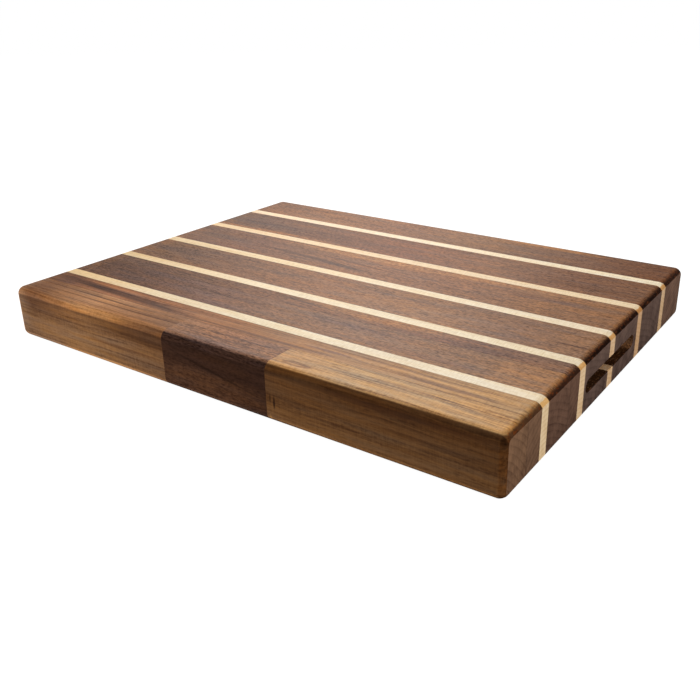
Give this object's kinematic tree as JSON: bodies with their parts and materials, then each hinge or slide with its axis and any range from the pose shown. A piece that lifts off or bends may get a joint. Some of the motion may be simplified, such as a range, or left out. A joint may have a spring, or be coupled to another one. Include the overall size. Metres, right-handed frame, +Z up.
{
  "type": "cutting board",
  "caption": "Thick rectangular edge-grain cutting board of walnut lanes and thin maple strips, rounded all over, with a finger slot in each end.",
  "frame": {"origin": "centre of the underside, on the surface the board stands on", "axes": "+X along the board's length towards the right end, +Y from the front edge with the three short blocks to the back edge, +Z up through the thickness"},
  "size_m": [0.4318, 0.3302, 0.042],
  "materials": {
    "walnut_medium": "oiled satin",
    "walnut_dark": "oiled satin",
    "walnut_golden": "oiled satin",
    "walnut_brown": "oiled satin",
    "maple": "oiled satin"
  },
  "bodies": {
    "root": {"walnut_front_left": "walnut_medium", "walnut_front_middle": "walnut_dark", "walnut_front_right": "walnut_golden", "walnut_front_inner": "walnut_brown", "walnut_second_front": "walnut_brown", "walnut_second_back": "walnut_brown", "walnut_third": "walnut_brown", "walnut_fourth": "walnut_brown", "walnut_fifth": "walnut_brown", "walnut_rear": "walnut_brown", "maple_strip_1": "maple", "maple_strip_2": "maple", "maple_strip_3": "maple", "maple_strip_4": "maple", "maple_strip_5": "maple"}
  },
  "joints": []
}
